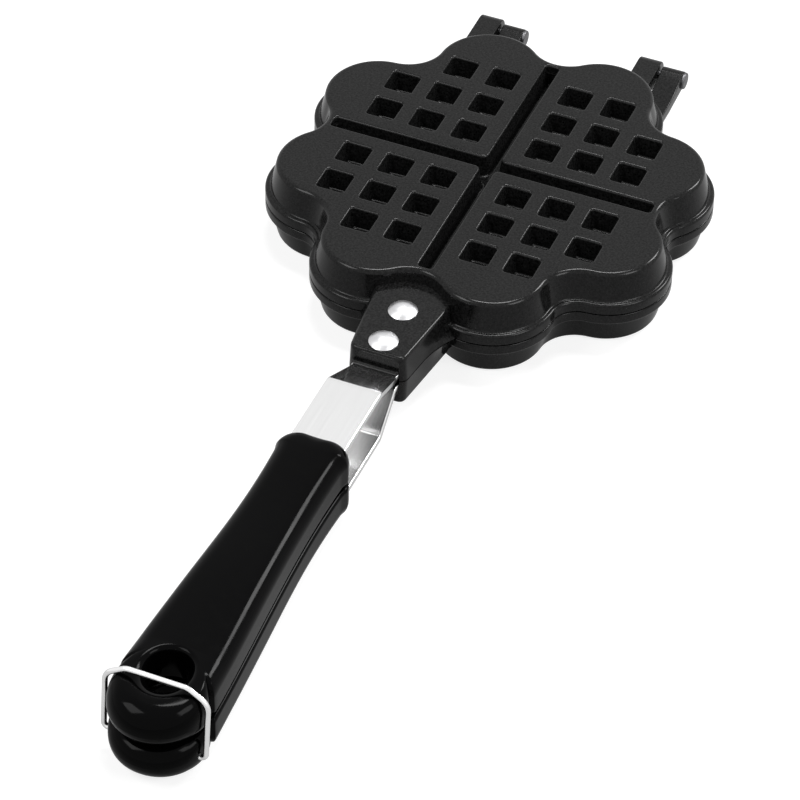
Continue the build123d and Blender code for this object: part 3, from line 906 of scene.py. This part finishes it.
def coated_casting():
    """Black non-stick coat: a fine grain in colour and relief, with faint clouds in its sheen."""
    made, tree, shader = finish_nodes("non_stick_coat", (0.003, 0.003, 0.0031), 0, 0.28)
    shader.inputs["Specular IOR Level"].default_value = 0.17
    clouds = object_noise(tree, scale=60, detail=3)
    grain = object_noise(tree, scale=1300, detail=3)
    tree.links.new(spread(tree, clouds, 0.12, 0.18), shader.inputs["Roughness"])
    tree.links.new(spread(tree, grain, 0.0005, 0.014), shader.inputs["Base Color"])
    bumped(tree, shader, object_noise(tree, scale=1800, detail=2), depth=0.00001, strength=0.5)
    return made


def grip_plastic():
    """Glossy black moulding: deep gloss with slight waviness and faint handling marks."""
    made, tree, shader = finish_nodes("grip_plastic", (0.001, 0.001, 0.0011), 0, 0.1)
    shader.inputs["Specular IOR Level"].default_value = 0.045
    marks = object_noise(tree, scale=220, detail=4)
    tree.links.new(spread(tree, marks, 0.07, 0.16), shader.inputs["Roughness"])
    bumped(tree, shader, object_noise(tree, scale=90, detail=1), depth=0.00003, strength=0.12)
    return made


def brushed_steel(name, colour, smooth, rough):
    """Steel with fine lines along the strap: noise drawn out along Y in both sheen and relief."""
    made, tree, shader = finish_nodes(name, colour, 1, smooth)
    lines = object_noise(tree, scale=1600, detail=3, stretch=(1, 0.02, 0.02))
    tree.links.new(spread(tree, lines, smooth, rough), shader.inputs["Roughness"])
    bumped(tree, shader, lines, depth=0.000002, strength=0.1)
    return made


def plain_metal(name, colour, smooth, rough):
    """Plain metal: a fine irregular grain, with tiny dents from setting."""
    made, tree, shader = finish_nodes(name, colour, 1, smooth)
    grain = object_noise(tree, scale=500, detail=4)
    tree.links.new(spread(tree, grain, smooth, rough), shader.inputs["Roughness"])
    bumped(tree, shader, object_noise(tree, scale=350, detail=2), depth=0.00003, strength=0.3)
    return made


def soft_box(name, place, target, size, power):
    """Rectangular lamp at a place, turned to face a target; lengths in metres and power in watts."""
    lamp = bpy.data.lights.new(name, "AREA")
    lamp.shape = "RECTANGLE"
    lamp.size, lamp.size_y = size
    lamp.energy = power
    made = bpy.data.objects.new(name, lamp)
    made.location = place
    made.rotation_euler = (Vector(target) - Vector(place)).to_track_quat("-Z", "Y").to_euler()
    bpy.context.scene.collection.objects.link(made)


coat = coated_casting()
plastic = grip_plastic()
strap_steel = brushed_steel("strap_steel", (0.79, 0.79, 0.79), 0.12, 0.2)
rivet_metal = plain_metal("rivet_aluminium", (0.6, 0.6, 0.61), 0.28, 0.42)
wire_steel = plain_metal("bail_steel", (0.84, 0.84, 0.84), 0.14, 0.26)
pin_steel = plain_metal("pin_steel", (0.12, 0.12, 0.125), 0.3, 0.5)
screw_steel = plain_metal("screw_steel", (0.6, 0.6, 0.61), 0.25, 0.4)

shell = skin() + boss()
hinges = HINGE_CENTRES.values()
upper_arms = [part for centre in hinges for part in arm(centre - EYE_GAP / 2 - EYE_WIDTH, UPPER_EYE)]
lower_arms = [part for centre in hinges for part in arm(centre + EYE_GAP / 2, LOWER_EYE)]
pair("casting", "plate", "coated_casting", coat, shell + upper_arms, shell + lower_arms)
pair("cranked_strap", "strap", "steel_strap", strap_steel, strap())
pair("moulded_grip", "grip", "grip_plastic", plastic, grip())
for place, distance in RIVET_PLACES.items():
    pair(f"{place}_rivet_dome", f"{place}_rivet", "rivet_metal", rivet_metal, rivet(distance))
for side, centre in HINGE_CENTRES.items():
    piece(f"{side}_turned_pin", pin(centre), "base", f"{side}_hinge_pin", pin_steel)
piece("bail_loop", bail(), "bail", "bail_wire", wire_steel)
for name in ("upper_grip_screw", "lower_grip_screw"):
    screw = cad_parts[name]
    screw.data.materials.clear()
    screw.data.materials.append(screw_steel)

# Table: white to the camera and pale in metal, with a pale shadow left under the object
bpy.ops.mesh.primitive_plane_add(size=TABLE_SIZE, location=(0, 0, -TABLE_GAP))
floor = bpy.context.object
floor.name = "floor"
table_finish, table_tree, table_shader = finish_nodes("white_table", (TABLE_SHADE,) * 3, 0, 0.9)
table_shader.inputs["Emission Color"].default_value = (1, 1, 1, 1)
table_ray = table_tree.nodes.new("ShaderNodeLightPath").outputs
seen = larger(table_tree, table_ray["Is Camera Ray"], table_ray["Is Transmission Ray"])
table_glow = larger(
    table_tree,
    spread(table_tree, seen, 0, TABLE_SEEN, 0, 1),
    spread(table_tree, table_ray["Is Glossy Ray"], 0, TABLE_MIRRORED, 0, 1),
)
table_tree.links.new(table_glow, table_shader.inputs["Emission Strength"])
floor.data.materials.append(table_finish)

# World: white where the camera or a mirror sees it, a soft grey light elsewhere
world = bpy.data.worlds.new("studio")
world.use_nodes = True
bpy.context.scene.world = world
sky_tree = world.node_tree
sky = sky_tree.nodes["Background"]
sky.inputs["Color"].default_value = (1, 1, 1, 1)
sky_ray = sky_tree.nodes.new("ShaderNodeLightPath").outputs
kinds = ("Is Camera Ray", "Is Glossy Ray", "Is Transmission Ray")
sky_seen = larger(sky_tree, *(sky_ray[kind] for kind in kinds))
sky_tree.links.new(spread(sky_tree, sky_seen, SKY_LIGHT, 1, 0, 1), sky.inputs["Strength"])

soft_box("overhead_strip", (-0.05, 0.45, 1.4), (-0.05, 0.0, 0), (0.62, 0.3), 14)
soft_box("front_left_window", (-0.62, -0.56, 1.0), PAN_MIDDLE, (0.52, 0.52), 6)
soft_box("right_window", (1.0, -0.25, 0.85), PAN_MIDDLE, (0.52, 0.52), 6)
soft_box("rear_right_strip", (0.59, 0.79, 0.77), PAN_MIDDLE, (0.26, 0.4), 7)

# Camera: fitted to the photograph's pits, rivets, strap and hinges
camera_data = bpy.data.cameras.new("camera")
camera_data.lens = CAMERA_LENS
camera_data.sensor_width = SENSOR_WIDTH
camera = bpy.data.objects.new("camera", camera_data)
forward = Vector(CAMERA_FORWARD).normalized()
down = Vector(CAMERA_DOWN)
down = (down - forward * down.dot(forward)).normalized()
right = down.cross(forward)
view = Matrix((right, -down, -forward)).transposed().to_4x4()
view.translation = CAMERA_PLACE
camera.matrix_world = view
bpy.context.scene.collection.objects.link(camera)
bpy.context.scene.camera = camera
bpy.context.scene.view_settings.view_transform = "Standard"
